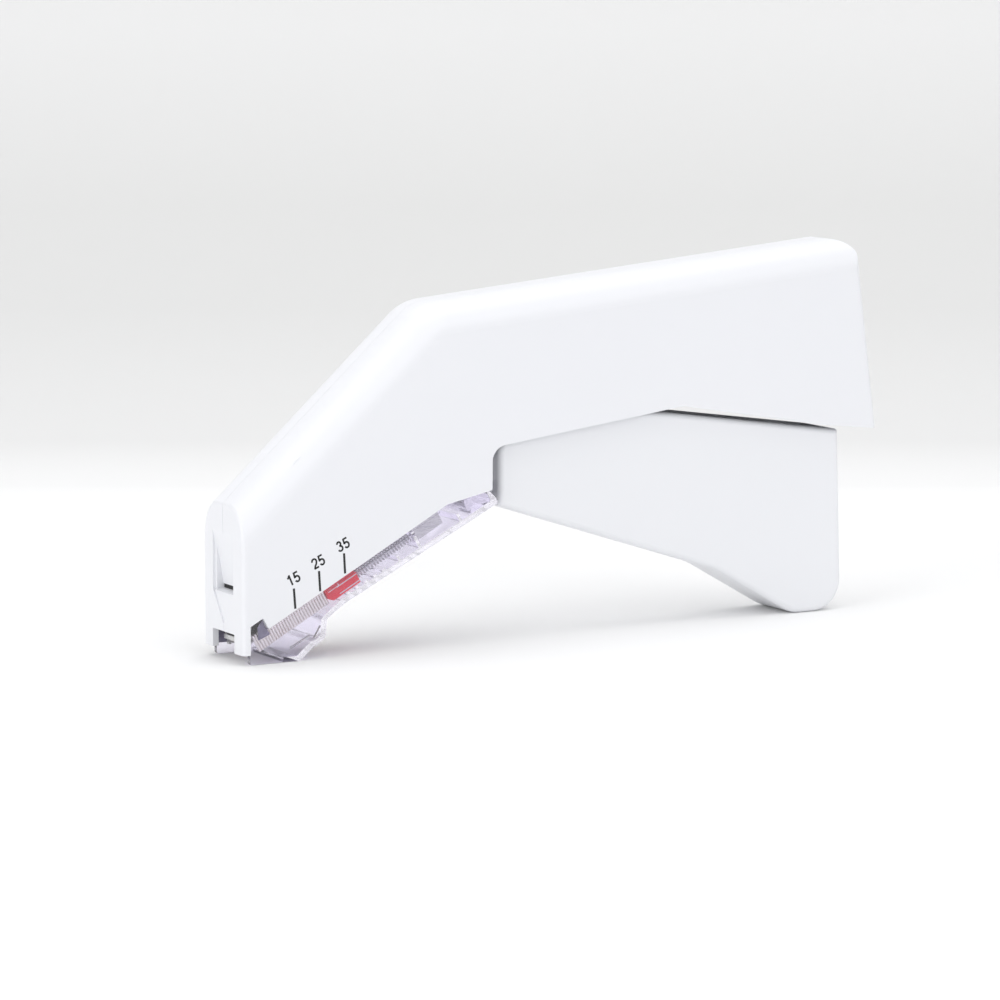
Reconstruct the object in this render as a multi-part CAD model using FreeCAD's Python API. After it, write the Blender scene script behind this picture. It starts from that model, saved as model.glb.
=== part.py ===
import FreeCAD, Part
import math
import os
from FreeCAD import Vector

# Disposable skin stapler, in millimetres.
# It is drawn with its nose face at X = 0, its rear towards +X, up as +Z and its middle plane at Y = 0.
# It stands on Z = 0, and it is moved along X at the end, so that the origin is the middle of its base.

# Body outline, seen from the side
body_width = 17.0
nose_bottom = 2.0
nose_height = 29.85
slope_angle = 42.15
bend_x = 39.9
bend_round = 10.0
handle_angle = 5.39
rear_x = 141.26
rear_low_z = 36.6
rear_lean = 7.5
rear_round = 4.5
rear_edge = 1.2
heel_gap_run = 13.7
heel_gap_rise = 1.5
heel_gap_round = 30.0
crest_x = 95.8
crest_z = 43.6
crest_round = 4.0
notch_x = 53.1
notch_top_z = 38.0
notch_low_z = 29.85
notch_round = 3.2
rail_edge_u = 39.6
rail_edge_round = 3.0
top_round = 6.0
edge_round = 0.8
corner_round = 0.4
small_round = 0.2

# Body walls, seam and pegs
side_wall = 1.5
top_wall = 1.5
front_wall = 1.2
seam_width = 0.08
seam_depth = 0.08
skin = 0.8
peg_radius = 1.2
peg_wall = 1.3
peg_play = 0.05
peg_length = 3.0
nose_peg_x = 13.6
nose_peg_drop = 6.0
slope_peg_x = 34.5
slope_peg_drop = 8.6
roof_peg_inset = 23.0
roof_peg_pitch = 32.0
roof_peg_drop = 5.8
rear_post_inset = 4.4
rear_post_z = 44.0
rear_post_radius = 1.5

# Staple track: u runs up the rail from track_x, track_z, and v is square to it
track_x = 8.7
track_z = 8.6
track_angle = 28.9
staple_pitch = 0.6
staple_count = 28
full_row = 35
first_staple_u = -6.68
wire_radius = 0.29
leg_length = 3.4
wire_bend = 0.7

# Nose window, arrow, mouth and the notch for the clear tab
window_width = 8.8
window_top = 24.5
window_frame = 0.5
window_step = 0.8
ramp_depth = 1.82
ramp_wall = 0.9
sill_z = 13.0
sill_rise = 0.27
sill_thick = 1.0
slot_height = 0.81
arrow_tip_z = 6.9
arrow_depth = 0.3
mouth_width = 9.4
mouth_top = 5.55
column_depth = 1.6
tab_u = -3.8
tab_height = 2.42
tab_play = 0.15

# Driver: the former slides in a lane that leans back by lane_lean
lane_x = 2.05
lane_z = 5.0
lane_lean = 8.5
former_play = 0.05
former_thick = 0.6
former_low = 1.4
former_fork = 3.8
former_fork_width = 7.0
former_rim = 1.6
former_roof_gap = 2.66
former_shoulder = 5.5
former_shoulder_width = 1.2
former_stroke = 4.4
guide_play = 0.12
guide_low = 12.0
guide_high = 20.5
guide_depth = 1.3
guide_thick = 0.8
pivot_x = 22.0
pivot_z = 23.0
pivot_pin_radius = 1.5
pivot_play = 0.04
pivot_boss_radius = 3.2
lever_thick = 2.5
lever_eye = 3.6
lever_tip_radius = 1.5
lever_waist = 3.2
lever_tail = 3.0
lever_tail_run = 18.0
side_play = 0.25
slit_play = 0.1
hole_play = 0.12
rivet_radius = 1.5
rivet_play = 0.02

# Trigger
trigger_play = 0.4
trigger_wall = 1.5
trigger_floor = 1.8
trigger_front_gap = 2.6
trigger_front_z = 26.3
trigger_rear_gap = 6.65
trigger_rear_lean = 1.2
heel_length = 11.7
heel_run = 17.8
trigger_bend_z = 10.3
trigger_bend_round = 14.0
heel_front_round = 7.0
heel_round = 6.3
trigger_crest_run = 7.8
trigger_crest_drop = 0.6
trigger_crest_round = 6.0
trigger_nose_round = 2.0
trigger_edge = 1.2
web_width = 6.6
web_run = 28.3
web_drop = 1.5
waist_inset = 4.3
waist_drop = 5.2
rib_first = 7.3
rib_pitch = 10.0
rib_count = 3
rib_thick = 1.4
arm_low_z = 31.0
arm_high_z = 39.5
arm_width = 8.0
arm_wall = 1.0
arm_inset = 3.2

# Return spring
spring_x = 46.0
spring_radius = 3.2
spring_wire = 0.45
spring_turns = 8
spring_play = 0.3
seat_depth = 1.5
spring_boss_z = 58.0
spring_boss_wall = 0.8
spring_nub = 3.0
spring_gap = 0.05

# Anvil track, its leaf and rivets
web_plate = 0.6
web_inset = 0.95
crown_play = 0.06
track_front_run = 0.5
track_end_u = 38.0
flange_start_u = 31.5
flange_drop = 2.6
flange_thick = 0.6
anvil_width = 5.74
anvil_front_x = 1.5
anvil_top = 4.55
anvil_height = 0.85
screen_x = 2.75
screen_thick = 0.5
screen_low = 2.3
screen_width = 8.8
arch_radius = 1.25
arch_y = 2.2
leaf_thick = 0.25
leaf_front_u = -1.0
leaf_rear_u = 4.0
leaf_half = 3.4
finger_width = 1.6
finger_x = 2.9
finger_z = 2.75
rivet_u = 1.5
small_rivet_radius = 0.5
small_rivet_head = 0.85
small_rivet_head_height = 0.4

# Cartridge
cartridge_inset = 0.75
plate_thick = 1.0
rail_top_play = 0.15
rail_drop_front = 4.84
rail_drop_rear = 6.0
rail_front_u = 12.0
rail_rear_u = 49.3
rail_tip_v = -4.6
rail_hook_x = 52.9
rail_hook_play = 0.3
rail_floor = 0.9
rail_cover_v = -2.5
foot_front_x = 1.75
foot_rear_x = 12.1
foot_open_x = 9.0
toe_x = 15.25
toe_z = 2.6
strap_x = 17.5
strap_z = 3.9
neck_x = 17.9
neck_z = 7.6
slot_round = 0.5
slot_low_x = 15.0
slot_low_z = 3.9
slot_out_x = 16.6
slot_out_z = 4.7
slot_in_x = 15.85
slot_in_z = 5.15
slot_top_x = 16.75
slot_top_z = 6.7
line_low_x = 10.2
line_low_z = 2.45
line_high_x = 14.2
line_high_z = 4.45
line_height = 0.32
line_depth = 0.5
cover_front_u = -2.6
cover_thick = 0.7
cover_end_u = 28.0
lip_thick = 0.27
lip_height = 1.2
lip_root = 1.0
lip_play = 0.05
crown_side_play = 0.03
cross_wall = 0.6
rod_wall_u = 30.8
front_cross_u = 25.9
rear_cross_u = 40.7
cross_wall_top = 3.3
tooth_first_u = 13.6
tooth_pitch = 2.1
tooth_count = 5
tooth_size = 0.9
tooth_height = 0.4
plug_front_u = 43.2
plug_play = 0.05
plug_top_v = -1.9
plug_rear_v = -3.4
plug_slope_run = 1.7

# Pusher, its rods and springs
pusher_length = 7.4
pusher_play = 0.15
pusher_arm_low = 3.4
pusher_nose_round = 0.6
pusher_step = 0.25
pusher_bar = 1.0
rod_radius = 0.4
rod_play = 0.08
rod_inset = 0.5
rod_wall = 1.1
rod_v = -2.2
rod_hold = 2.0
coil_radius = 0.8
coil_wire = 0.14
coil_turns = 20
coil_gap = 0.03

# Worked out from the sizes above
half_width = body_width / 2
inner_half = half_width - side_wall
cartridge_half = half_width - cartridge_inset
channel_half = cartridge_half - plate_thick
lip_inner = channel_half - lip_thick
crown_half = lip_inner - crown_side_play
web_half = crown_half - web_inset
rod_y = web_half - rod_inset
former_half = crown_half - former_play
trigger_half = inner_half - trigger_play
trigger_front_x = notch_x + trigger_front_gap
trigger_rear_x = rear_x - trigger_rear_gap
trigger_heel_x = trigger_rear_x - heel_length
trigger_bend_x = trigger_heel_x - heel_run
trigger_crest_x = crest_x - trigger_crest_run
trigger_crest_z = crest_z - trigger_crest_drop
waist = (trigger_front_x + waist_inset, trigger_crest_z - waist_drop)
tail = (waist[0] + lever_tail_run, waist[1] + 0.2)
lean = math.radians(lane_lean)
slope = math.radians(slope_angle)
rise = math.radians(handle_angle)
back_lean = math.radians(rear_lean)
incline = math.radians(track_angle)
bend_z = nose_height + bend_x * math.tan(slope)
web_top_v = -wire_radius - crown_play
web_low_v = web_top_v - web_plate
cover_low_v = wire_radius + crown_play
plug_rear_u = rail_rear_u - rail_floor - plug_play
far = 400.0
over = 0.2


def along_slope(x):
    """Height of the nose's sloping top line at x."""
    return nose_height + x * math.tan(slope)


def along_handle(x):
    """Height of the handle's top line at x."""
    return bend_z + (x - bend_x) * math.tan(rise)


def rear_top(inset=0.0, drop=0.0):
    """Corner where the handle's top line meets the leaning rear line, both moved inwards if asked."""
    line_x = rear_x - inset / math.cos(back_lean)
    sink = drop / math.cos(rise)
    height = along_handle(line_x) - sink - rear_low_z
    x = line_x - math.tan(back_lean) * height / (1 + math.tan(back_lean) * math.tan(rise))
    return x, along_handle(x) - sink


def on_track(u, v):
    """Place of a point of the rail, u along it and v square to it."""
    return (track_x + u * math.cos(incline) - v * math.sin(incline),
            track_z + u * math.sin(incline) + v * math.cos(incline))


def on_lane(n, w):
    """Place of a point of the former's lane, n behind its middle plane and w up it."""
    return (lane_x + n * math.cos(lean) + w * math.sin(lean),
            lane_z - n * math.sin(lean) + w * math.cos(lean))


def rail_low(u):
    """Rail place of the rail's lower edge, which drops towards the rear."""
    share = (u - rail_front_u) / (rail_rear_u - rail_front_u)
    return -(rail_drop_front + (rail_drop_rear - rail_drop_front) * share)


def outline(corners):
    """Closed wire in the XZ plane through corners (x, z, radius)."""
    spots = [Vector(x, 0, z) for x, z, radius in corners]
    ends = []
    for index, spot in enumerate(spots):
        radius = corners[index][2]
        if radius <= 0:
            ends.append((spot, None, spot))
            continue
        back = (spots[index - 1] - spot).normalize()
        ahead = (spots[(index + 1) % len(spots)] - spot).normalize()
        half = back.getAngle(ahead) / 2
        reach = radius / math.tan(half)
        deep = radius / math.sin(half) - radius
        middle = spot + (back + ahead).normalize() * deep
        ends.append((spot + back * reach, middle, spot + ahead * reach))
    edges = []
    for index, (start, middle, end) in enumerate(ends):
        following = ends[(index + 1) % len(ends)][0]
        if middle:
            edges.append(Part.Arc(start, middle, end).toShape())
        if end.distanceToPoint(following) > 1e-6:
            edges.append(Part.makeLine(end, following))
    return Part.Wire(edges)


def plate(corners, y_low, y_high):
    """Flat piece with an outline in the XZ plane, from y_low to y_high."""
    wire = outline(corners)
    wire.translate(Vector(0, y_low, 0))
    return Part.Face(wire).extrude(Vector(0, y_high - y_low, 0))


def track_plate(corners, y_low, y_high):
    """Flat piece with its outline given in rail places (u, v, radius)."""
    return plate([(*on_track(u, v), radius) for u, v, radius in corners], y_low, y_high)


def track_block(u_low, u_high, v_low, v_high, y_low, y_high):
    """Block that lies square to the rail."""
    corners = [(u_low, v_low, 0), (u_high, v_low, 0), (u_high, v_high, 0), (u_low, v_high, 0)]
    return track_plate(corners, y_low, y_high)


def lane_block(n_low, n_high, w_low, w_high, y_low, y_high):
    """Block that lies square to the former's lane."""
    corners = [(n_low, w_low), (n_high, w_low), (n_high, w_high), (n_low, w_high)]
    return plate([(*on_lane(n, w), 0) for n, w in corners], y_low, y_high)


def block(x_low, x_high, y_low, y_high, z_low, z_high):
    return Part.makeBox(x_high - x_low, y_high - y_low, z_high - z_low, Vector(x_low, y_low, z_low))


def rod_across(x, z, radius, y_low, y_high):
    """Round rod along Y."""
    return Part.makeCylinder(radius, y_high - y_low, Vector(x, y_low, z), Vector(0, 1, 0))


def rod_up(x, radius, z_low, z_high):
    """Round rod along Z, in the middle plane."""
    return Part.makeCylinder(radius, z_high - z_low, Vector(x, 0, z_low))


def rail_rod(u_low, u_high, v, y, radius):
    """Round rod along the rail."""
    x, z = on_track(u_low, v)
    return Part.makeCylinder(radius, u_high - u_low, Vector(x, y, z),
                             Vector(math.cos(incline), 0, math.sin(incline)))


def track_pin(u, v_low, v_high, y, radius):
    """Round pin square to the rail."""
    x, z = on_track(u, v_low)
    return Part.makeCylinder(radius, v_high - v_low, Vector(x, y, z),
                             Vector(-math.sin(incline), 0, math.cos(incline)))


def both_sides(piece):
    """A piece and its mirror image on the other side of the middle plane."""
    return [piece, piece.mirror(Vector(0, 0, 0), Vector(0, 1, 0))]


def cut_all(shape, cutters):
    return shape.cut(cutters[0].multiFuse(cutters[1:]))


def link(start, start_radius, end, end_radius, y_low, y_high):
    """Bar with round ends: two discs and the straight sides that touch both."""
    a = Vector(start[0], y_low, start[1])
    b = Vector(end[0], y_low, end[1])
    along = (b - a).normalize()
    across = Vector(-along.z, 0, along.x)
    swing = math.acos((start_radius - end_radius) / a.distanceToPoint(b))
    upper = along * math.cos(swing) + across * math.sin(swing)
    lower = along * math.cos(swing) - across * math.sin(swing)
    sides = [a + upper * start_radius, b + upper * end_radius, b + lower * end_radius,
             a + lower * start_radius]
    web = Part.Face(Part.makePolygon(sides + sides[:1])).extrude(Vector(0, y_high - y_low, 0))
    discs = [rod_across(spot[0], spot[1], radius, y_low, y_high)
             for spot, radius in ((start, start_radius), (end, end_radius))]
    return web.multiFuse(discs).removeSplitter()


def fillet_where(shape, radius, chosen):
    """Round the edges whose middle point passes the test."""
    edges = []
    for edge in shape.Edges:
        middle = edge.valueAt((edge.FirstParameter + edge.LastParameter) / 2)
        if chosen(middle, edge):
            edges.append(edge)
    return shape.makeFillet(radius, edges)


def body_corners():
    """The body's side outline, with a sharp upper rear corner."""
    top_x, top_z = rear_top()
    tab_x, tab_z = on_track(tab_u, tab_height)
    column_z = tab_z - (tab_x - column_depth) * math.tan(incline)
    return [(0, nose_bottom, 0), (0, nose_height, 0), (bend_x, bend_z, bend_round), (top_x, top_z, 0),
            (rear_x, rear_low_z, edge_round),
            (rear_x - heel_gap_run, rear_low_z + heel_gap_rise, heel_gap_round),
            (crest_x, crest_z, crest_round),
            (notch_x, notch_top_z, notch_round), (notch_x, notch_low_z, corner_round),
            (*on_track(rail_edge_u, 0), rail_edge_round), (*on_track(tab_u, 0), small_round),
            (tab_x, tab_z, small_round), (column_depth, column_z, small_round),
            (column_depth, nose_bottom, small_round)]


def arched(corners, half, radius, rear_limit):
    """Outline with its sloping and handle edges rounded along the top."""
    body = plate(corners, -half, half)
    near = 0.01
    return fillet_where(body, radius, lambda spot, edge: abs(abs(spot.y) - half) < near
                        and spot.z > edge_floor(spot.x) and near < spot.x < rear_limit)


def edge_floor(x):
    """Height halfway between the upper line and what lies under it, at x."""
    return min(along_slope(x), along_handle(x)) - nose_height / 2


def rear_end(inset, half, round_top):
    """Block with the rounded upper rear corner."""
    top_x, top_z = rear_top(inset, inset)
    low_x = rear_x - inset / math.cos(back_lean)
    start = -far / 2
    height = along_handle(start) - inset / math.cos(rise)
    return plate([(start, -far, 0), (start, height, 0), (top_x, top_z, round_top), (low_x, rear_low_z, 0),
                  (low_x, -far, 0)], -half, half)


def body_solid():
    """Outside form of the body: arched top, small roundings on the front and rear edges."""
    top_x, top_z = rear_top()
    near = 0.01
    body = arched(body_corners(), half_width, top_round, top_x - 1)
    body = fillet_where(body, edge_round, lambda spot, edge: abs(edge.BoundBox.XMax) < near
                        and spot.z > nose_bottom + 1)
    back = rear_end(0, half_width, rear_round)
    back = fillet_where(back, rear_edge, lambda spot, edge: abs(abs(spot.y) - half_width) < near
                        and spot.z > rear_low_z and spot.x > 0)
    return body.common(back)


def body_hollow():
    """Room inside the body, open along its lower edge."""
    top_x, top_z = rear_top(side_wall, top_wall)
    front_z = along_slope(front_wall) - top_wall / math.cos(slope)
    sink = top_wall / math.cos(rise)
    meet = (top_wall / math.cos(slope) - sink) / (math.tan(slope) - math.tan(rise))
    bend = (bend_x + meet, along_handle(bend_x + meet) - sink, bend_round - top_wall)
    low_x = rear_x - side_wall / math.cos(back_lean)
    corners = [(front_wall, -far, 0), (front_wall, front_z, 0), bend, (top_x, top_z, 0),
               (low_x, rear_low_z, 0),
               (low_x, -far, 0)]
    room = arched(corners, inner_half, top_round - side_wall, top_x - 1)
    return room.common(rear_end(side_wall, inner_half, rear_round - side_wall))


def window_block():
    """Thick part of the nose wall that carries the ramp of the window."""
    gap = former_thick / 2 + guide_play
    ramp_low = sill_z + sill_rise + slot_height
    low_w = (sill_z - sill_thick - lane_z) / math.cos(lean)
    high_w = (ramp_low + ramp_wall - lane_z) / math.cos(lean)
    half = window_width / 2 - window_step + ramp_wall
    middle = front_wall / 2
    return plate([(middle, sill_z - sill_thick, 0), (*on_lane(-gap, low_w), 0), (*on_lane(-gap, high_w), 0),
                  (middle, window_top - sill_thick, 0)], -half, half)


def window_cuts():
    """Frame recess, ramp recess and slot of the window, the arrow under it and the mouth."""
    out = -1.0
    ramp_low = sill_z + sill_rise + slot_height
    run = ramp_depth / (window_top - ramp_low)
    frame = plate([(out, sill_z, 0), (window_frame, sill_z + sill_rise * window_frame / ramp_depth, 0),
                   (window_frame, window_top - window_frame / run, 0), (0, window_top, 0),
                   (out, window_top, 0)], -window_width / 2, window_width / 2)
    inner = window_width / 2 - window_step
    ramp = plate([(0, sill_z, 0), (ramp_depth, sill_z + sill_rise, 0), (ramp_depth, ramp_low, 0),
                  (0, window_top, 0)], -inner, inner)
    slot = block(ramp_depth - window_frame, lane_x + ramp_depth, -inner, inner, ramp_low - slot_height,
                 ramp_low)
    tip = [Vector(out, -window_width / 2, sill_z), Vector(out, window_width / 2, sill_z),
           Vector(out, 0, arrow_tip_z)]
    arrow = Part.Face(Part.makePolygon(tip + tip[:1])).extrude(Vector(arrow_depth - out, 0, 0))
    mouth = block(out, front_wall + over, -mouth_width / 2, mouth_width / 2, 0, mouth_top)
    return [frame, ramp, slot, arrow, mouth]


def lane_guides():
    """Ribs on the side walls, in front of and behind the former."""
    gap = former_thick / 2 + guide_play
    ribs = []
    for low in (-gap - guide_thick, gap):
        rib = lane_block(low, low + guide_thick, guide_low, guide_high, inner_half - guide_depth,
                         inner_half + over)
        ribs += both_sides(rib)
    return ribs


def peg_places():
    """Middles of the moulded pegs, under the nose slope and under the handle's top."""
    slopes = [(x, along_slope(x) - drop) for x, drop in ((nose_peg_x, nose_peg_drop),
                                                         (slope_peg_x, slope_peg_drop))]
    roofs = [rear_x - roof_peg_inset - index * roof_peg_pitch for index in range(2)]
    return slopes + [(x, along_handle(x) - roof_peg_drop) for x in roofs]


def spring_boss():
    """Boss under the roof, with the nub that centres the return spring."""
    roof = along_handle(spring_x) - top_wall / 2
    outer = rod_up(spring_x, spring_radius + spring_wire + spring_boss_wall, spring_boss_z, roof)
    nub = rod_up(spring_x, spring_radius - spring_wire - spring_play, spring_boss_z - spring_nub, roof)
    return outer.fuse(nub)


def casings():
    """Left and right shells, with bosses, ribs, pegs and sockets."""
    body = body_solid().cut(body_hollow())
    reach = lever_thick / 2 + side_play
    wide = inner_half + over
    adds = [window_block(), spring_boss()] + lane_guides()
    adds += both_sides(rod_across(pivot_x, pivot_z, pivot_boss_radius, reach, wide))
    adds += [rod_across(x, z, peg_radius + peg_wall, -wide, wide) for x, z in peg_places()]
    adds.append(rod_across(rear_x - rear_post_inset, rear_post_z, rear_post_radius, -wide, wide))
    body = body.multiFuse(adds)
    blind = half_width - skin
    body = cut_all(body, window_cuts() + [rod_across(pivot_x, pivot_z, pivot_pin_radius + pivot_play,
                                                     -blind, blind)])
    body = body.cut(seam_groove())
    left = body.common(block(-far, far, -far, 0, -far, far))
    right = body.common(block(-far, far, 0, far, -far, far))
    for x, z in peg_places():
        left = left.fuse(rod_across(x, z, peg_radius, -peg_length / 2, peg_length))
        right = right.cut(rod_across(x, z, peg_radius + peg_play, -peg_length, peg_length + over))
    return left, right


def seam_groove():
    """Fine groove where the two shells meet."""
    top_x, top_z = rear_top()
    wire = outline([(0, -far, 0), (0, nose_height, 0), (bend_x, bend_z, bend_round),
                    (top_x, top_z, rear_round),
                    (rear_x, rear_low_z, 0), (rear_x, -far, 0)])
    ring = Part.Face(wire).cut(Part.Face(wire.makeOffset2D(-seam_depth)))
    ring.translate(Vector(0, -seam_width / 2, 0))
    return ring.extrude(Vector(0, seam_width, 0))


def former_top():
    """Rail of the former's upper edge, a set gap under the roof."""
    roof = along_slope(lane_x) - top_wall / math.cos(slope) - lane_z
    return roof / (math.cos(lean) - math.sin(lean) * math.tan(slope)) - former_roof_gap


def tip_place():
    """Lane place of the middle of the lever's tip at rest."""
    return former_top() - former_rim - lever_tip_radius - hole_play


def drive_lever():
    """Steel lever that turns on the pivot pin, from the former to the trigger's web."""
    half = lever_thick / 2
    pivot = (pivot_x, pivot_z)
    bars = [link(pivot, lever_eye, on_lane(0, tip_place()), lever_tip_radius, -half, half),
            link(pivot, lever_eye, waist, lever_waist, -half, half),
            link(waist, lever_waist, tail, lever_tail, -half, half)]
    bar = bars[0].multiFuse(bars[1:]).removeSplitter()
    holes = [rod_across(*pivot, pivot_pin_radius + pivot_play, -body_width, body_width)]
    holes += [rod_across(*spot, rivet_radius + rivet_play, -body_width, body_width) for spot in (waist,
                                                                                                 tail)]
    return cut_all(bar, holes)


def pivot_pin():
    end = half_width - skin - slit_play
    return rod_across(pivot_x, pivot_z, pivot_pin_radius, -end, end)


def lever_rivets():
    return Part.makeCompound([rod_across(*spot, rivet_radius, -web_width / 2, web_width / 2)
                              for spot in (waist, tail)])


def staple_former():
    """Steel plate with a forked lower end and a window for the lever's tip."""
    half = former_thick / 2
    top = former_top()
    hole = lever_tip_radius + hole_play
    body = lane_block(-half, half, former_low, top, -former_half, former_half)
    fork = lane_block(-1, 1, 0, former_low + former_fork, -former_fork_width / 2, former_fork_width / 2)
    wide = lever_thick / 2 + slit_play
    window = lane_block(-1, 1, tip_place() - hole, tip_place() + hole, -wide, wide)
    shoulder = lane_block(-1, 1, top - former_shoulder, top + 1, former_half - former_shoulder_width,
                          body_width)
    return cut_all(body, [fork, window] + both_sides(shoulder))


def trigger():
    """Moulded trigger: a channel open at the top, with a web and an arm that hold the lever."""
    half = trigger_half
    rear_top_z = rear_low_z
    rear_top_x = trigger_rear_x - trigger_rear_lean
    sink = (trigger_front_z - trigger_bend_z) / (trigger_bend_x - trigger_front_x)
    nose_z = trigger_crest_z - trigger_crest_round
    body = plate([(trigger_front_x, trigger_front_z, edge_round),
                  (trigger_bend_x, trigger_bend_z, trigger_bend_round),
                  (trigger_heel_x, 0, heel_front_round), (trigger_rear_x, 0, heel_round),
                  (rear_top_x, rear_top_z, corner_round),
                  (trigger_crest_x, trigger_crest_z, trigger_crest_round),
                  (trigger_front_x + trigger_nose_round, trigger_crest_z, trigger_nose_round),
                  (trigger_front_x, nose_z, trigger_nose_round)], -half, half)
    near = 0.01
    body = fillet_where(body, trigger_edge, lambda spot, edge: abs(abs(spot.y) - half) < near
                        and (spot.z < trigger_front_z or spot.x > rear_top_x - near)
                        and spot.x > trigger_front_x + near)
    floor = trigger_floor * math.sqrt(1 + sink * sink)
    front = trigger_front_x + trigger_wall
    rear = trigger_rear_x - trigger_wall
    rear_high = rear_top_x - trigger_wall
    room = plate([(front, trigger_front_z - trigger_wall * sink + floor, edge_round),
                  (trigger_bend_x, trigger_bend_z + floor, trigger_bend_round),
                  (trigger_heel_x, trigger_floor, heel_front_round - trigger_floor),
                  (rear, trigger_floor, heel_round - trigger_wall),
                  (rear_high, rear_top_z, 0), (rear_high, trigger_crest_z + over, 0),
                  (front, trigger_crest_z + over, 0)], -half + trigger_wall, half - trigger_wall)
    body = body.cut(room)
    return add_web(body, sink)


def add_web(body, sink):
    """Middle web, cross ribs, heel rib and forward arm of the trigger, with slit and holes for the lever."""
    half = trigger_half
    web_top = trigger_crest_z - web_drop
    web_end = trigger_front_x + web_run
    low = trigger_front_z - web_run * sink + trigger_floor
    web = plate([(trigger_front_x + trigger_wall / 2, trigger_front_z + trigger_floor, 0),
                 (web_end, low, 0), (web_end, web_top, trigger_nose_round),
                 (trigger_front_x + trigger_wall / 2, web_top, 0)], -web_width / 2, web_width / 2)
    arm_front = spring_x - spring_radius - spring_wire - arm_wall
    arm_root = trigger_front_x + trigger_wall
    arm = plate([(arm_front, arm_low_z, arm_wall), (arm_root, arm_low_z, 0), (arm_root, web_top, 0),
                 (trigger_front_x - arm_inset, arm_high_z, trigger_nose_round),
                 (arm_front, arm_high_z, arm_wall)],
                -arm_width / 2, arm_width / 2)
    ribs = []
    for index in range(rib_count):
        x = trigger_front_x + rib_first + index * rib_pitch
        floor = trigger_front_z - (x - trigger_front_x) * sink + trigger_floor / 2
        ribs.append(block(x, x + rib_thick, -half + trigger_wall / 2, half - trigger_wall / 2, floor,
                          web_top))
    heel = plate([(trigger_bend_x, trigger_bend_z + trigger_floor / 2, 0),
                  (trigger_heel_x, trigger_floor / 2, 0),
                  (trigger_heel_x, trigger_bend_z + trigger_bend_round / 2, 0),
                  (trigger_bend_x, trigger_bend_z + trigger_bend_round / 2, 0)], -rib_thick / 2,
                  rib_thick / 2)
    body = body.multiFuse([web, arm, heel] + ribs)
    slit = lever_thick / 2 + slit_play
    room = lever_tail + guide_play * 3
    below = waist[1] - lever_waist - guide_play * 3
    cuts = [plate([(arm_front - 5, pivot_z, 0), (pivot_x + lever_tail_run, pivot_z, 0), (waist[0], below, 0),
                   (tail[0], tail[1] - room, 0), (tail[0] + room, tail[1] - room, 0),
                   (tail[0] + room, trigger_crest_z + over, 0), (arm_front - 5, trigger_crest_z + over, 0)],
                  -slit, slit)]
    cuts += [rod_across(*spot, rivet_radius + rivet_play, -web_width / 2,
                        web_width / 2) for spot in (waist, tail)]
    cuts.append(rod_up(spring_x, spring_radius + spring_wire + spring_play, arm_high_z - seat_depth,
                       along_handle(spring_x)))
    return cut_all(body, cuts)


def coil(mean_radius, wire, turns, length):
    """Helical spring along +Z from the origin, its ends at 0 and at its length."""
    pitch = (length - 2 * wire) / turns
    path = Part.makeHelix(pitch, pitch * turns, mean_radius)
    section = Part.Wire(Part.makeCircle(wire, Vector(mean_radius, 0, 0), Vector(0, 1, 0)))
    spring = Part.Wire(path.Edges).makePipeShell([section], True, True)
    spring.translate(Vector(0, 0, wire))
    return spring


def return_spring():
    low = arm_high_z - seat_depth + spring_gap
    spring = coil(spring_radius, spring_wire, spring_turns, spring_boss_z - spring_gap - low)
    spring.translate(Vector(spring_x, 0, low))
    return spring


def staple():
    """One open staple in the YZ plane, its crown's middle at the origin and its legs towards -Z."""
    half = crown_half - wire_radius
    low = -leg_length
    bend = wire_bend
    turn = bend * (1 - math.sqrt(0.5))
    path = [Part.makeLine(Vector(0, -half, low), Vector(0, -half, -bend)),
            Part.Arc(Vector(0, -half, -bend), Vector(0, -half + turn, -turn),
                     Vector(0, -half + bend, 0)).toShape(),
            Part.makeLine(Vector(0, -half + bend, 0), Vector(0, half - bend, 0)),
            Part.Arc(Vector(0, half - bend, 0), Vector(0, half - turn, -turn),
                     Vector(0, half, -bend)).toShape(),
            Part.makeLine(Vector(0, half, -bend), Vector(0, half, low))]
    section = Part.Wire(Part.makeCircle(wire_radius, Vector(0, -half, low), Vector(0, 0, 1)))
    return Part.Wire(path).makePipeShell([section], True, True)


def staples():
    """The row of loose staples in the rail."""
    one = staple()
    tilted = FreeCAD.Rotation(Vector(0, 1, 0), -track_angle)
    row = []
    for index in range(staple_count):
        x, z = on_track(first_staple_u + index * staple_pitch, 0)
        piece = one.copy()
        piece.Placement = FreeCAD.Placement(Vector(x, 0, z), tilted)
        row.append(piece)
    return Part.makeCompound(row)


def pusher_start():
    """Rail place of the pusher's front face, against the last staple."""
    return first_staple_u + (staple_count - 1) * staple_pitch + wire_radius + crown_play


def anvil_track():
    """Steel strip under the crowns, with its anvil tongue, screen and rear flanges."""
    front = first_staple_u - track_front_run
    web = track_block(front, track_end_u, web_low_v, web_top_v, -web_half, web_half)
    flange = track_block(flange_start_u, track_end_u, web_low_v - flange_drop, web_low_v + web_plate / 2,
                         web_half - flange_thick, web_half)
    tongue = block(anvil_front_x, screen_x + screen_thick, -anvil_width / 2, anvil_width / 2,
                   anvil_top - anvil_height, anvil_top)
    screen = block(screen_x, screen_x + screen_thick, -screen_width / 2, screen_width / 2, screen_low,
                   anvil_top)
    arches = [Part.makeCylinder(arch_radius, screen_x, Vector(screen_x / 2, side * arch_y, screen_low),
                                Vector(1, 0, 0))
              for side in (-1, 1)]
    body = web.multiFuse(both_sides(flange) + [tongue, cut_all(screen, arches)])
    return cut_all(body, rivet_holes()).removeSplitter()


def rivet_holes():
    return [track_pin(rivet_u, -leg_length, 1, arch_y * side,
                      small_rivet_radius + rivet_play) for side in (-1, 1)]


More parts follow.
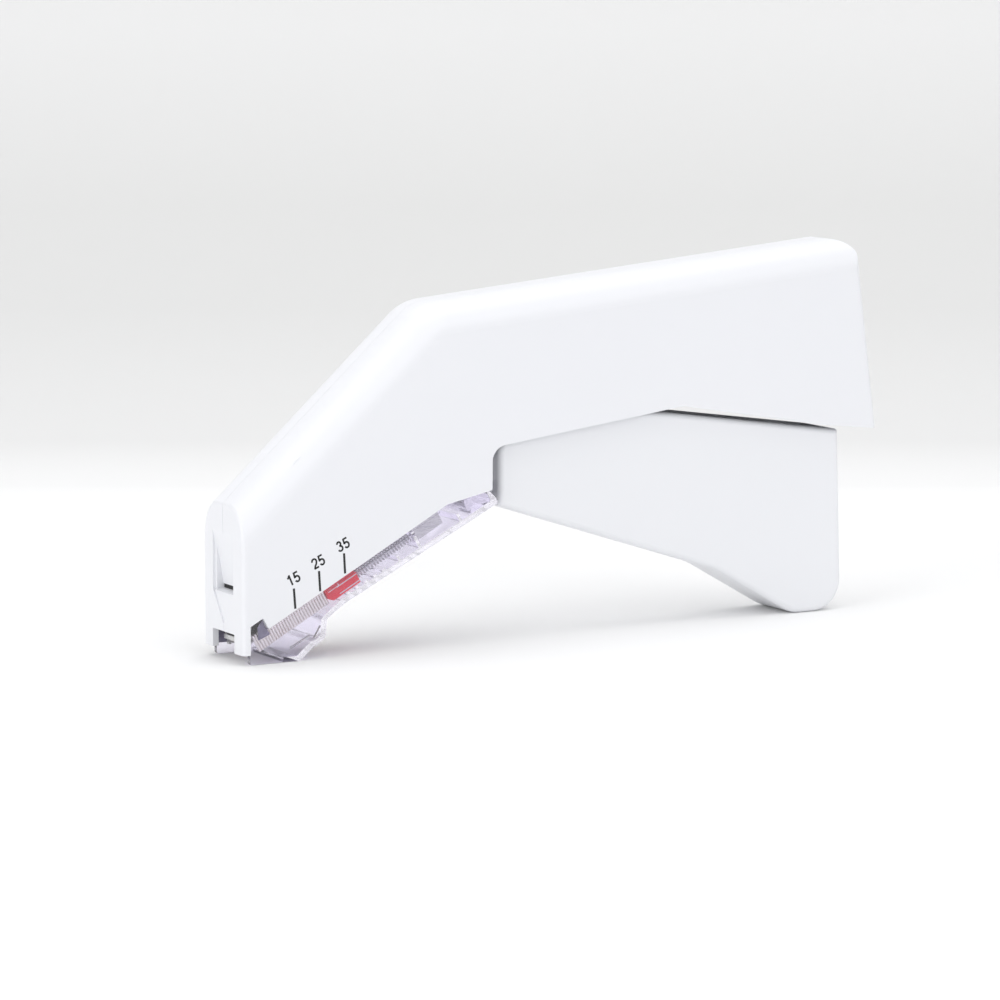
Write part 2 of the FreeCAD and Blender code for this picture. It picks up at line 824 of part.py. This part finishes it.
def track_rivets():
    """Two rivets through leaf and track, flush with the track, with a head under the leaf."""
    low = web_low_v - leaf_thick - rivet_play
    pins = []
    for side in (-1, 1):
        pin = track_pin(rivet_u, low - small_rivet_head_height, web_top_v, arch_y * side, small_rivet_radius)
        head = track_pin(rivet_u, low - small_rivet_head_height, low, arch_y * side, small_rivet_head)
        pins.append(pin.fuse(head))
    return Part.makeCompound(pins)


def ejector_spring():
    """Bent steel leaf under the track, with two fingers that reach the mouth."""
    top = web_low_v - rivet_play
    seat = track_block(leaf_front_u, leaf_rear_u, web_low_v - leaf_thick, top, -leaf_half, leaf_half)
    start_x, start_z = on_track(leaf_front_u, web_low_v - leaf_thick / 2)
    bend_at = screen_x + screen_thick + leaf_thick
    fingers = []
    for side in (-1, 1):
        low_y = side * arch_y - finger_width / 2
        fingers.append(plate([(start_x + leaf_thick / 2, start_z + leaf_thick / 2, 0),
                              (bend_at, finger_z + leaf_thick, leaf_thick),
                              (finger_x, finger_z + leaf_thick, 0),
                              (finger_x, finger_z, 0), (bend_at + leaf_thick / 2, finger_z, leaf_thick),
                              (start_x + leaf_thick, start_z - leaf_thick / 2, 0)], low_y,
                              low_y + finger_width))
    return cut_all(seat.multiFuse(fingers), rivet_holes()).removeSplitter()


def cartridge_outline(inset):
    """Side outline of the clear cartridge, or of its room when inset by the floor's thickness."""
    edge = tab_play
    tab_x, tab_z = on_track(tab_u - edge, tab_height - edge)
    front = foot_front_x + inset
    front_z = tab_z - (tab_x - front) * math.tan(incline)
    if inset:
        end_u = rail_rear_u - inset
        tip = [(*on_track(end_u, -edge), corner_round), (*on_track(end_u, rail_low(end_u) + inset),
                                                         corner_round)]
    else:
        tip = [(*on_track(rail_edge_u, -edge), 2.0), (rail_hook_x, notch_low_z - rail_hook_play,
                                                      corner_round),
               (*on_track(rail_rear_u, rail_tip_v), corner_round),
               (*on_track(rail_rear_u, rail_low(rail_rear_u)), corner_round)]
    return [(front, inset, edge_round - small_round), (front, front_z, small_round),
            (tab_x, tab_z, small_round),
            (*on_track(tab_u - edge, -edge), small_round), *tip,
            (*on_track(rail_front_u, rail_low(rail_front_u) + inset), 1.5),
            (neck_x - inset, neck_z, edge_round), (strap_x - inset, strap_z, 1.2),
            (toe_x - inset / 2, toe_z + inset, 1.0), (foot_rear_x - inset / 3, inset, slot_round)]


def cartridge_shell():
    """Clear channel: two side plates, a floor, the foot, the nose tabs and cross walls."""
    half = cartridge_half
    inner = channel_half
    body = plate(cartridge_outline(0), -half, half)
    room = plate(cartridge_outline(rail_floor), -inner, inner)
    above = track_block(-far, far, rail_cover_v, far, -inner, inner)
    low_front = block(-foot_front_x, foot_open_x, -inner, inner, -1, rail_floor + over)
    front = block(-foot_front_x, foot_front_x + rail_floor + slot_round, -inner, inner, -1, far)
    body = cut_all(body, [room, above, front, low_front])
    adds = both_sides(track_block(tab_u + edge_round, track_end_u, -lip_root, lip_height, lip_inner,
                                  inner + over))
    wide = inner + over
    deep = rail_floor / 3
    for u in (front_cross_u, rear_cross_u):
        adds.append(track_block(u, u + cross_wall, rail_low(u) + deep, -cross_wall_top, -wide, wide))
    adds.append(track_block(rod_wall_u, rod_wall_u + cross_wall, rail_low(rod_wall_u) + deep,
                            rod_v + rod_wall,
                            -wide, wide))
    for index in range(tooth_count):
        u = tooth_first_u + index * tooth_pitch
        adds.append(track_block(u, u + tooth_size, rail_low(u) + deep,
                                rail_low(u) + rail_floor + tooth_height,
                                -wide, wide))
    body = body.multiFuse(adds)
    cuts = [plate([(slot_top_x, slot_top_z, small_round / 2), (slot_out_x, slot_out_z, slot_round),
                   (slot_low_x, slot_low_z, small_round / 2), (slot_in_x, slot_in_z, slot_round)],
                  -body_width, body_width)]
    cuts += [rail_rod(rod_wall_u - 1, rod_wall_u + cross_wall + 1, rod_v, side * rod_y,
                      rod_radius + rivet_play)
             for side in (-1, 1)]
    line = plate([(line_low_x, line_low_z, 0), (line_high_x, line_high_z, 0),
                  (line_high_x, line_high_z + line_height, 0), (line_low_x, line_low_z + line_height, 0)],
                 half - line_depth, half + 1)
    return cut_all(body, cuts + both_sides(line))


def cartridge_cover():
    """Clear strip over the crowns, between the lips of the cartridge."""
    half = lip_inner - lip_play
    return track_block(cover_front_u, cover_end_u, cover_low_v, cover_low_v + cover_thick, -half, half)


def rail_end_plug():
    """Clear block that closes the rear end of the rail."""
    half = channel_half - plug_play
    front_v = rail_low(plug_front_u) + rail_floor + plug_play
    rear_v = rail_low(plug_rear_u) + rail_floor + plug_play
    return track_plate([(plug_front_u, front_v, corner_round), (plug_rear_u, rear_v, corner_round),
                        (plug_rear_u, plug_rear_v, corner_round),
                        (plug_rear_u - plug_slope_run, plug_top_v, slot_round),
                        (plug_front_u, plug_top_v, corner_round)], -half, half)


def spring_rods():
    """Two rods held in the rail's anchor wall, on which the coils run."""
    start = pusher_start() + pusher_length - rod_hold
    return Part.makeCompound([rail_rod(start, rod_wall_u + cross_wall + rod_play / 2, rod_v, side * rod_y,
                                       rod_radius)
                              for side in (-1, 1)])


def pusher_springs():
    """Two coils between the pusher and the anchor wall."""
    start = pusher_start() + pusher_length + coil_gap
    length = rod_wall_u - coil_gap - start
    turn = FreeCAD.Rotation(Vector(0, 0, 1), Vector(math.cos(incline), 0, math.sin(incline)))
    coils = []
    for side in (-1, 1):
        spring = coil(coil_radius, coil_wire, coil_turns, length)
        x, z = on_track(start, rod_v)
        spring.Placement = FreeCAD.Placement(Vector(x, side * rod_y, z), turn).multiply(spring.Placement)
        coils.append(spring)
    return Part.makeCompound(coils)


def staple_pusher():
    """Red slider: two arms beside the track, a bar under it, and holes for the rods."""
    start = pusher_start()
    end = start + pusher_length
    half = channel_half - pusher_play
    under = web_low_v - slit_play
    low = -pusher_arm_low
    nose = pusher_nose_round * 1.5
    arm = track_plate([(start, low + nose, 0), (start + nose, low, pusher_nose_round),
                       (end, low, small_round),
                       (end, under, 0), (start, under, 0)], rod_y - rod_wall, half)
    lip = track_block(start, end - pusher_step, under - over, cover_low_v - pusher_play,
                      web_half + pusher_play,
                      lip_inner - pusher_play)
    bar = track_block(start + nose, end, low, low + pusher_bar, -rod_y + rod_wall / 2, rod_y - rod_wall / 2)
    body = bar.multiFuse(both_sides(arm) + both_sides(lip))
    room = (full_row - staple_count) * staple_pitch
    deep = end - rod_hold - room - edge_round
    cuts = [rail_rod(deep, end + 1, rod_v, side * rod_y, rod_radius + rod_play) for side in (-1, 1)]
    rear = start + nose + coil_radius * 2
    for v in (rod_v + coil_radius, rod_v - coil_radius / 2 - pusher_step):
        cuts += both_sides(track_block(rear, end + 1, v - pusher_step, v, half - plug_play * 2, half + 1))
    return cut_all(body, cuts)


def export(pieces):
    """Move the pieces so that the origin is the middle of the base, and write one file for each."""
    os.makedirs("parts", exist_ok=True)
    shift = Vector(-pieces["left_casing"].optimalBoundingBox().XMax / 2, 0, 0)
    for name, shape in pieces.items():
        shape.translate(shift)
        print(name, "solids", len(shape.Solids), "valid", shape.isValid(), "volume", round(shape.Volume, 2))
        shape.exportStep("parts/" + name + ".step")


left_casing, right_casing = casings()
export({
    "left_casing": left_casing,
    "right_casing": right_casing,
    "trigger": trigger(),
    "drive_lever": drive_lever(),
    "lever_rivets": lever_rivets(),
    "pivot_pin": pivot_pin(),
    "return_spring": return_spring(),
    "staple_former": staple_former(),
    "anvil_track": anvil_track(),
    "track_rivets": track_rivets(),
    "ejector_spring": ejector_spring(),
    "cartridge_shell": cartridge_shell(),
    "cartridge_cover": cartridge_cover(),
    "rail_end_plug": rail_end_plug(),
    "staples": staples(),
    "staple_pusher": staple_pusher(),
    "pusher_springs": pusher_springs(),
    "spring_rods": spring_rods(),
})
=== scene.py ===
import math

import bmesh
import bpy
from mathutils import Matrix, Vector


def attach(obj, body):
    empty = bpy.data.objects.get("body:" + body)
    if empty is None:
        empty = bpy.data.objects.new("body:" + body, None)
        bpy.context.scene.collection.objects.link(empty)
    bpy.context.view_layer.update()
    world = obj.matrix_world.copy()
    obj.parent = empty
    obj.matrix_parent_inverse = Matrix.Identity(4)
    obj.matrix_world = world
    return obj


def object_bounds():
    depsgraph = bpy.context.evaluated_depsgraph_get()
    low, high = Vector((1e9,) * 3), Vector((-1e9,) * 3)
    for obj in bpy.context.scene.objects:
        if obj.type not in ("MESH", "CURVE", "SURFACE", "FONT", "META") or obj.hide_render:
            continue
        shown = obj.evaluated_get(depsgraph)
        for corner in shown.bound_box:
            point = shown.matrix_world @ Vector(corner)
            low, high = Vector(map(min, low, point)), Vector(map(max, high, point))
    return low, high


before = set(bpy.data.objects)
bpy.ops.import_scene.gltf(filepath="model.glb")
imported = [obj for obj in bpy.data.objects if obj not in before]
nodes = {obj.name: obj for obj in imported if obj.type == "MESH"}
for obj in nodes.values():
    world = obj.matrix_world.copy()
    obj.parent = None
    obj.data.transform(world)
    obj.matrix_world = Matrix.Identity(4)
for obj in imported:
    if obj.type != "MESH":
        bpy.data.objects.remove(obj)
cad_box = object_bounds()
scene = bpy.context.scene

# Places are written in millimetres from the nose face, with X towards the rear
MM = 0.001
nose_x = cad_box[0][0]


def at_nose(x, y, z):
    """A place given in millimetres from the nose face, in the row frame."""
    return Vector((nose_x + x * MM, y * MM, z * MM))


# The staple track starts at track_x, track_z and climbs at the angle slope
track_x = 8.7
track_z = 8.6
slope = math.radians(28.9)


def on_track(u, v):
    """A point u along and v above the staple track, in X and Z in millimetres from the nose."""
    x = track_x + u * math.cos(slope) - v * math.sin(slope)
    z = track_z + u * math.sin(slope) + v * math.cos(slope)
    return x, z


# Camera, fitted to the photograph's edges
yaw = math.radians(28.916)
pitch = math.radians(7.919)
camera_data = bpy.data.cameras.new("camera")
camera_data.sensor_width = 36.0
camera_data.lens = 158.4
camera_data.clip_start = 0.05
camera_data.clip_end = 20.0
camera = bpy.data.objects.new("camera", camera_data)
camera.location = at_nose(-349.244, -739.812, 144.03)
camera.rotation_euler = (math.pi / 2 - pitch, 0.0, -yaw)
scene.collection.objects.link(camera)
scene.camera = camera


# Node helpers
def new_material(name):
    """An empty material with its shader linked to the output."""
    material = bpy.data.materials.new(name)
    material.use_nodes = True
    tree = material.node_tree
    tree.nodes.clear()
    output = tree.nodes.new("ShaderNodeOutputMaterial")
    shader = tree.nodes.new("ShaderNodeBsdfPrincipled")
    tree.links.new(shader.outputs[0], output.inputs[0])
    return material, tree, shader


def node(tree, kind):
    return tree.nodes.new("ShaderNode" + kind)


def object_place(tree):
    return node(tree, "TexCoord").outputs["Object"]


def noise(tree, vector, scale, detail=3.0, rough=0.5):
    made = node(tree, "TexNoise")
    made.inputs["Scale"].default_value = scale
    made.inputs["Detail"].default_value = detail
    made.inputs["Roughness"].default_value = rough
    tree.links.new(vector, made.inputs["Vector"])
    return made.outputs[0]


def ramp(tree, value, stops):
    """Colours over a value, each stop a position and a colour."""
    made = node(tree, "ValToRGB")
    elements = made.color_ramp.elements
    while len(elements) < len(stops):
        elements.new(0.5)
    for element, (place, colour) in zip(elements, stops):
        element.position = place
        element.color = (*colour, 1.0)
    tree.links.new(value, made.inputs[0])
    return made.outputs[0]


def remap(tree, value, low, high, to_low, to_high):
    made = node(tree, "MapRange")
    for socket, number in zip((1, 2, 3, 4), (low, high, to_low, to_high)):
        made.inputs[socket].default_value = number
    tree.links.new(value, made.inputs[0])
    return made.outputs[0]


def bump(tree, shader, height, strength, distance):
    made = node(tree, "Bump")
    made.inputs["Strength"].default_value = strength
    made.inputs["Distance"].default_value = distance
    tree.links.new(height, made.inputs["Height"])
    tree.links.new(made.outputs[0], shader.inputs["Normal"])


def scaled(tree, vector, scale, angle=0.0):
    """A vector stretched by scale and turned about Y."""
    made = node(tree, "Mapping")
    made.inputs["Scale"].default_value = scale
    made.inputs["Rotation"].default_value = (0.0, angle, 0.0)
    tree.links.new(vector, made.inputs["Vector"])
    return made.outputs[0]


# Materials
def white_plastic(name, tint, roughness, grain):
    """White moulded plastic: faint clouding, satin gloss and a fine spark-eroded grain."""
    material, tree, shader = new_material(name)
    place = object_place(tree)
    low = tuple(c * 0.99 for c in tint)
    high = tuple(c * 1.006 for c in tint)
    cloud = noise(tree, place, 22.0, 3.0, 0.45)
    tree.links.new(ramp(tree, cloud, [(0.0, low), (1.0, high)]), shader.inputs["Base Color"])
    patch = noise(tree, place, 180.0, 4.0, 0.6)
    rough = remap(tree, patch, 0.0, 1.0, roughness - 0.01, roughness + 0.10)
    tree.links.new(rough, shader.inputs["Roughness"])
    fine = noise(tree, place, 2600.0, 2.0, 0.6)
    bump(tree, shader, fine, grain, 0.02 * MM)
    shader.inputs["IOR"].default_value = 1.5
    return material


def clear_plastic(name, tint, roughness):
    """Clear plastic with a faint violet cast, flow lines along the rail and fine scuffs."""
    material, tree, shader = new_material(name)
    place = object_place(tree)
    low = tuple(c * 0.97 for c in tint)
    cloud = noise(tree, place, 60.0, 2.0, 0.5)
    tree.links.new(ramp(tree, cloud, [(0.35, low), (0.65, tint)]), shader.inputs["Base Color"])
    scuff = noise(tree, scaled(tree, place, (1.0, 1.0, 3.0)), 420.0, 4.0, 0.6)
    rough = remap(tree, scuff, 0.45, 0.8, roughness, roughness + 0.12)
    tree.links.new(rough, shader.inputs["Roughness"])
    flow = noise(tree, scaled(tree, place, (1.0, 1.0, 2.5), slope), 160.0, 2.0, 0.5)
    bump(tree, shader, flow, 0.10, 0.06 * MM)
    shader.inputs["IOR"].default_value = 1.49
    shader.inputs["Transmission Weight"].default_value = 1.0
    light_through(tree, shader, tint)
    return material


def light_through(tree, shader, tint):
    """Let shadow rays pass, tinted, so that light reaches what lies inside."""
    through = node(tree, "BsdfTransparent")
    through.inputs[0].default_value = (*tint, 1.0)
    mix = node(tree, "MixShader")
    tree.links.new(node(tree, "LightPath").outputs["Is Shadow Ray"], mix.inputs[0])
    tree.links.new(shader.outputs[0], mix.inputs[1])
    tree.links.new(through.outputs[0], mix.inputs[2])
    output = next(made for made in tree.nodes if made.type == "OUTPUT_MATERIAL")
    tree.links.new(mix.outputs[0], output.inputs[0])


def coloured(name, dark, light, roughness, scales, spread=(0.2, 0.8), detail=2.0, grain=0.1, depth=0.01):
    """A coloured surface: the scales are of its colour, gloss and grain, and depth is in millimetres."""
    material, tree, shader = new_material(name)
    place = object_place(tree)
    colour_scale, gloss_scale, grain_scale = scales
    low, high = spread
    stops = [(low, dark), (high, light)]
    tree.links.new(ramp(tree, noise(tree, place, colour_scale), stops), shader.inputs["Base Color"])
    rough = remap(tree, noise(tree, place, gloss_scale, detail), low, high, *roughness)
    tree.links.new(rough, shader.inputs["Roughness"])
    bump(tree, shader, noise(tree, place, grain_scale, 2.0), grain, depth * MM)
    return material


def metal(name, dark, light, roughness, stretch, angle, strength, metallic=1.0):
    """Metal with a rolled or drawn grain: stretch and angle set its direction."""
    material, tree, shader = new_material(name)
    place = object_place(tree)
    grain = noise(tree, scaled(tree, place, stretch, angle), 300.0, 5.0, 0.65)
    tree.links.new(ramp(tree, grain, [(0.3, dark), (0.7, light)]), shader.inputs["Base Color"])
    rough = remap(tree, grain, 0.25, 0.75, roughness - 0.06, roughness + 0.1)
    tree.links.new(rough, shader.inputs["Roughness"])
    bump(tree, shader, grain, strength, 0.03 * MM)
    shader.inputs["Metallic"].default_value = metallic
    return material


rolled = (0.2, 1.0, 6.0)
drawn = (1.0, 1.0, 1.0)

shell_white = white_plastic("shell_white", (0.835, 0.842, 0.873), 0.30, 0.12)
trigger_white = white_plastic("trigger_white", (0.833, 0.841, 0.868), 0.36, 0.15)
clear = clear_plastic("clear_shell", (0.936, 0.914, 0.992), 0.04)
clear_lid = clear_plastic("clear_lid", (0.966, 0.958, 0.992), 0.03)
steel = metal("rolled_steel", (0.50, 0.50, 0.51), (0.66, 0.66, 0.66), 0.28, rolled, 0.0, 0.25)
rail_steel = metal("rail_steel", (0.52, 0.52, 0.53), (0.68, 0.68, 0.67), 0.26, rolled, slope, 0.2)
# The former's steel is coloured near black as painted shade, so that the window's slot, which looks onto
# it, reads dark
shade_painted = metal("blackened_steel", (0.055, 0.055, 0.06), (0.12, 0.12, 0.125), 0.30, rolled, 0.0, 0.25)
wire = metal("drawn_wire", (0.80, 0.79, 0.78), (0.93, 0.92, 0.90), 0.24, drawn, 0.0, 0.08)
coil_wire = metal("coil_wire", (0.84, 0.84, 0.86), (0.96, 0.95, 0.96), 0.36, drawn, 0.0, 0.05, 0.55)
staple_wire = metal("staple_wire", (0.86, 0.82, 0.78), (0.96, 0.93, 0.89), 0.30, drawn, 0.0, 0.06)
# Dark violet-grey for the plates beside the first staples, which are painted shade for the unlit inside
painted_shade_guide = metal("painted_shade_guide", (0.20, 0.19, 0.25), (0.32, 0.31, 0.38), 0.42, (0.3, 1.0, 4.0), slope, 0.2)
red = coloured(
    "pusher_red", (0.93, 0.040, 0.070), (0.98, 0.055, 0.092), (0.30, 0.42), (90.0, 260.0, 2200.0),
    spread=(0.3, 0.7), detail=3.0, grain=0.12, depth=0.02,
)
# Pale pink for the strips that are painted highlights along the pusher's step edges
painted_highlight = coloured(
    "pusher_pale_edge", (0.94, 0.80, 0.83), (0.99, 0.92, 0.93), (0.2, 0.35), (700.0, 400.0, 2000.0),
)
# Near-black for plates that are painted shade, not part of the stapler
painted_shade_black = coloured(
    "painted_shade_black", (0.010, 0.009, 0.010), (0.020, 0.018, 0.019), (0.5, 0.7), (600.0, 400.0, 2000.0),
)
ink = coloured(
    "printed_ink", (0.006, 0.006, 0.007), (0.014, 0.013, 0.014), (0.38, 0.5), (900.0, 500.0, 3000.0),
    spread=(0.3, 0.7),
)

wear = {
    "left_casing": shell_white,
    "right_casing": shell_white,
    "trigger": trigger_white,
    "cartridge_shell": clear,
    "cartridge_cover": clear_lid,
    "rail_end_plug": clear,
    "staple_pusher": red,
    "drive_lever": steel,
    "lever_rivets": steel,
    "pivot_pin": steel,
    "staple_former": shade_painted,
    "anvil_track": rail_steel,
    "track_rivets": rail_steel,
    "ejector_spring": steel,
    "return_spring": wire,
    "pusher_springs": coil_wire,
    "spring_rods": coil_wire,
    "staples": staple_wire,
}
for name, material in wear.items():
    slots = nodes[name].material_slots
    if not slots:
        nodes[name].data.materials.append(material)
    for slot in slots:
        slot.material = material


# Mesh pieces
def add_mesh(name, points, faces, material):
    """A new object in the scene with one material, its points in the row frame."""
    mesh = bpy.data.meshes.new(name)
    mesh.from_pydata([tuple(point) for point in points], [], faces)
    mesh.materials.append(material)
    mesh.update()
    made = bpy.data.objects.new(name, mesh)
    scene.collection.objects.link(made)
    return made


def plate(name, corners, y0, y1, material, body):
    """A plate with its outline in X and Z and its faces at y0 and y1, in millimetres from the nose."""
    count = len(corners)
    points = [at_nose(x, y, z) for y in (y0, y1) for x, z in corners]
    faces = [tuple(range(count)), tuple(range(2 * count - 1, count - 1, -1))]
    for i in range(count):
        after = (i + 1) % count
        faces.append((i, i + count, after + count, after))
    made = add_mesh(name, points, faces, material)
    tools = bmesh.new()
    tools.from_mesh(made.data)
    bmesh.ops.recalc_face_normals(tools, faces=tools.faces)
    tools.to_mesh(made.data)
    tools.free()
    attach(made, body)


# Printed scale on the left side: a tick and a figure for 15, 25 and 35 staples
side_y = -8.5
ink_proud = 0.008
ink_deep = 0.03
tick_width = 0.46
figure_stroke = 0.36
figure_wide = 1.94
figure_tall = 2.10
figure_step = 0.74
figure_lean = math.radians(24.0)
sharpest_mitre = 0.5


def stroke(points, width):
    """The two edges of a line of ink with square ends and mitred corners."""
    left, right = [], []
    for i, (x, z) in enumerate(points):
        before = points[max(i - 1, 0)]
        after = points[min(i + 1, len(points) - 1)]
        into = Vector((x - before[0], z - before[1]))
        out_of = Vector((after[0] - x, after[1] - z))
        into = (into if into.length else out_of).normalized()
        out_of = (out_of if out_of.length else into).normalized()
        along = (into + out_of).normalized()
        half = width / 2 / max(along.dot(into), sharpest_mitre)
        left.append((x - along.y * half, z + along.x * half))
        right.append((x + along.y * half, z - along.x * half))
    return left, right


def printed(name, lines, width):
    """Thin layers of ink on the left side, from centre lines in X and Z in millimetres from the nose."""
    points, faces = [], []
    for line in lines:
        left, right = stroke(line, width)
        count = len(left)
        start = len(points)
        for x, z in left + right:
            points.append(at_nose(x, side_y - ink_proud, z))
            points.append(at_nose(x, side_y + ink_deep, z))
        for i in range(count - 1):
            l0, l1 = start + 2 * i, start + 2 * i + 2
            r0, r1 = l0 + 2 * count, l1 + 2 * count
            faces += [(l0, r0, r1, l1), (l0 + 1, l1 + 1, r1 + 1, r0 + 1)]
            faces += [(l0, l1, l1 + 1, l0 + 1), (r0, r0 + 1, r1 + 1, r1)]
        for l0, way in ((start, 1), (start + 2 * count - 2, -1)):
            r0 = l0 + 2 * count
            faces.append((l0, l0 + 1, r0 + 1, r0)[::way])
    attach(add_mesh(name, points, faces, ink), "body")


def arc(x, z, rx, rz, start, end, count=14):
    """Points of an elliptic arc round x, z from one angle to another, in degrees."""
    turns = [math.radians(start + (end - start) * i / count) for i in range(count + 1)]
    return [(x + rx * math.cos(t), z + rz * math.sin(t)) for t in turns]


def figure_place(x, z, corner):
    """A point of a figure's cell, turned to lean with the track, with the cell's low corner at corner."""
    x, z = x * figure_wide, z * figure_tall
    return (
        corner[0] + x * math.cos(figure_lean) - z * math.sin(figure_lean),
        corner[1] + x * math.sin(figure_lean) + z * math.cos(figure_lean),
    )


# Each figure's centre lines, in a cell one cap height tall
figures = {
    "1": [
        [(0.36, 1.0), (0.36, 0.0)],
        [(0.08, 0.73), (0.24, 0.79), (0.35, 0.95)],
    ],
    "2": [
        arc(0.31, 0.70, 0.24, 0.235, 178, -32) + [(0.42, 0.42), (0.24, 0.27), (0.13, 0.10)],
        [(0.04, 0.07), (0.58, 0.07)],
    ],
    "3": [
        arc(0.30, 0.73, 0.20, 0.20, 168, -95),
        arc(0.30, 0.305, 0.245, 0.235, 95, -165),
    ],
    "5": [
        [(0.57, 0.93), (0.16, 0.93), (0.11, 0.46)],
        arc(0.31, 0.325, 0.245, 0.26, 142, -158),
    ],
}

# For each staple count: the tick's two ends, and the low corner of its figures
scale_marks = {
    "15": ([(10.61, 14.04), (10.89, 10.18)], (9.75, 14.42)),
    "25": ([(15.89, 16.96), (16.12, 13.10)], (14.94, 17.22)),
    "35": ([(21.17, 19.95), (21.38, 16.08)], (20.16, 20.10)),
}
for text, (ends, corner) in scale_marks.items():
    printed("scale_tick_" + text, [ends], tick_width)
    lines = []
    for i, figure in enumerate(text):
        for line in figures[figure]:
            lines.append([figure_place(x + figure_step * i, z, corner) for x, z in line])
    printed("scale_number_" + text, lines, figure_stroke)


# Dark plates beside the first staples, painted shade for the unlit inside seen through the clear tabs and
# through the mouth; the right one also reaches into the mouth
shade_plate_in = 6.64
shade_plate_out = 6.73
shade_plate_corners = [on_track(u, v) for u, v in ((-5.2, 1.05), (-3.75, 1.65), (-3.6, -1.55), (-6.2, -1.25))]
mouth_corners = [(4.6, 2.2), (1.9, 2.2), (1.9, 5.4)]
plate("painted_shade_plate_left", shade_plate_corners, -shade_plate_out, -shade_plate_in, painted_shade_guide, "body")
plate("painted_shade_plate_right", shade_plate_corners[:3] + mouth_corners, shade_plate_in, shade_plate_out, painted_shade_guide, "body")

# Black plates as painted shade, keeping the window's slot and the top of the mouth dark
slot_half = 4.38
slot_corners = [(1.95, 13.30), (2.10, 13.30), (2.10, 14.05), (1.95, 14.05)]
roof_corners = [(1.61, 4.62), (1.64, 4.62), (1.66, 5.54), (1.61, 5.54)]
plate("window_painted_shade", slot_corners, -slot_half, slot_half, painted_shade_black, "body")
plate("mouth_painted_shade", roof_corners, -4.68, 1.2, painted_shade_black, "body")

# Pale strips along the pusher's step edges, painted highlights for the light those edges catch: u, v and Y
# from and to, on both sides
pusher_edges = {
    "upper": ((12.5, 17.2), (-1.62, -1.44), (6.48, 6.60)),
    "lower": ((12.5, 17.2), (-3.07, -2.89), (6.48, 6.60)),
    "front": ((10.5, 12.9), (-1.50, -1.36), (6.59, 6.62)),
    "step": ((12.9, 13.1), (-1.50, -0.9), (6.59, 6.62)),
}
for side, mark in ((-1, "left"), (1, "right")):
    for part, ((u0, u1), (v0, v1), depths) in pusher_edges.items():
        corners = [on_track(u, v) for u, v in ((u0, v0), (u1, v0), (u1, v1), (u0, v1))]
        y0, y1 = sorted(side * depth for depth in depths)
        plate(f"pusher_highlight_{part}_{mark}", corners, y0, y1, painted_highlight, "pusher")


# Studio: a white paper floor that bends up into a wall, its colour darkened up the wall as painted shade
# so that the wall reads pale grey, in metres
floor_near = -1.0
bend_start = 1.04
bend_radius = 0.30
bend_steps = 32
wall_top = 2.5
half_width = 2.5
# Paper colour by height above the floor: painted shade for the light falling off up the wall
paper_painted_shade = [
    (0.0, (0.93, 0.93, 0.93)),
    (0.004, (0.88, 0.88, 0.88)),
    (0.05, (0.77, 0.77, 0.768)),
    (0.27, (0.705, 0.705, 0.700)),
    (0.475, (0.697, 0.697, 0.691)),
    (0.86, (0.755, 0.755, 0.753)),
]
painted_shade_top = 0.12


def studio_paper():
    """White paper with painted shade: its colour darkens with height above the floor and lightens a little
    again higher up the wall.
    """
    material, tree, shader = new_material("studio_paper")
    place = object_place(tree)
    split = node(tree, "SeparateXYZ")
    tree.links.new(place, split.inputs[0])
    level = remap(tree, split.outputs["Z"], 0.0, painted_shade_top, 0.0, 1.0)
    tree.links.new(ramp(tree, level, paper_painted_shade), shader.inputs["Base Color"])
    shader.inputs["Roughness"].default_value = 0.9
    shader.inputs["Specular IOR Level"].default_value = 0.1
    bump(tree, shader, noise(tree, place, 800.0, 3.0), 0.05, 0.2 * MM)
    return material


def sweep():
    """The floor and wall, square to the camera's heading and smooth over the bend."""
    ahead = Vector((math.sin(yaw), math.cos(yaw), 0.0))
    across = Vector((math.cos(yaw), -math.sin(yaw), 0.0))
    below = Vector((camera.location.x, camera.location.y, 0.0))
    profile = [(floor_near, 0.0), (0.4, 0.0), (bend_start - 0.02, 0.0)]
    for i in range(bend_steps + 1):
        angle = math.pi / 2 * i / bend_steps
        run = bend_start + bend_radius * math.sin(angle)
        profile.append((run, bend_radius * (1 - math.cos(angle))))
    profile.append((bend_start + bend_radius, wall_top))
    points = []
    for run, rise in profile:
        for side in (-half_width, half_width):
            spot = below + ahead * run + across * side
            points.append((spot.x, spot.y, rise))
    faces = [(2 * i, 2 * i + 1, 2 * i + 3, 2 * i + 2) for i in range(len(profile) - 1)]
    made = add_mesh("studio_sweep", points, faces, studio_paper())
    for polygon in made.data.polygons:
        polygon.use_smooth = True
    return made


sweep()


# Light: a pale tent all round, and soft boxes above, before the nose and behind the camera
world = bpy.data.worlds.new("studio")
world.use_nodes = True
tent = world.node_tree.nodes["Background"]
tent.inputs["Color"].default_value = (0.98, 0.985, 1.0, 1.0)
tent.inputs["Strength"].default_value = 0.56
scene.world = world
lit_point = Vector((0.0, 0.0, 0.03))


def soft_box(name, place, size, power):
    data = bpy.data.lights.new(name, "AREA")
    data.shape = "RECTANGLE"
    data.size, data.size_y = size
    data.energy = power
    made = bpy.data.objects.new(name, data)
    made.location = place
    made.rotation_euler = (lit_point - Vector(place)).to_track_quat("-Z", "Y").to_euler()
    scene.collection.objects.link(made)


soft_box("top_box", (0.05, -0.05, 1.1), (1.3, 1.3), 6.6)
soft_box("left_box", (-1.15, -0.35, 0.50), (0.8, 0.8), 4.6)
soft_box("camera_box", (0.35, -1.3, 0.75), (1.0, 0.8), 3.8)

# Light bounces enough to pass the clear parts' many walls
scene.cycles.max_bounces = 24
scene.cycles.transmission_bounces = 24
scene.cycles.glossy_bounces = 10
scene.cycles.transparent_max_bounces = 24
scene.view_settings.view_transform = "Standard"
scene.view_settings.look = "None"
scene.view_settings.exposure = 0.0
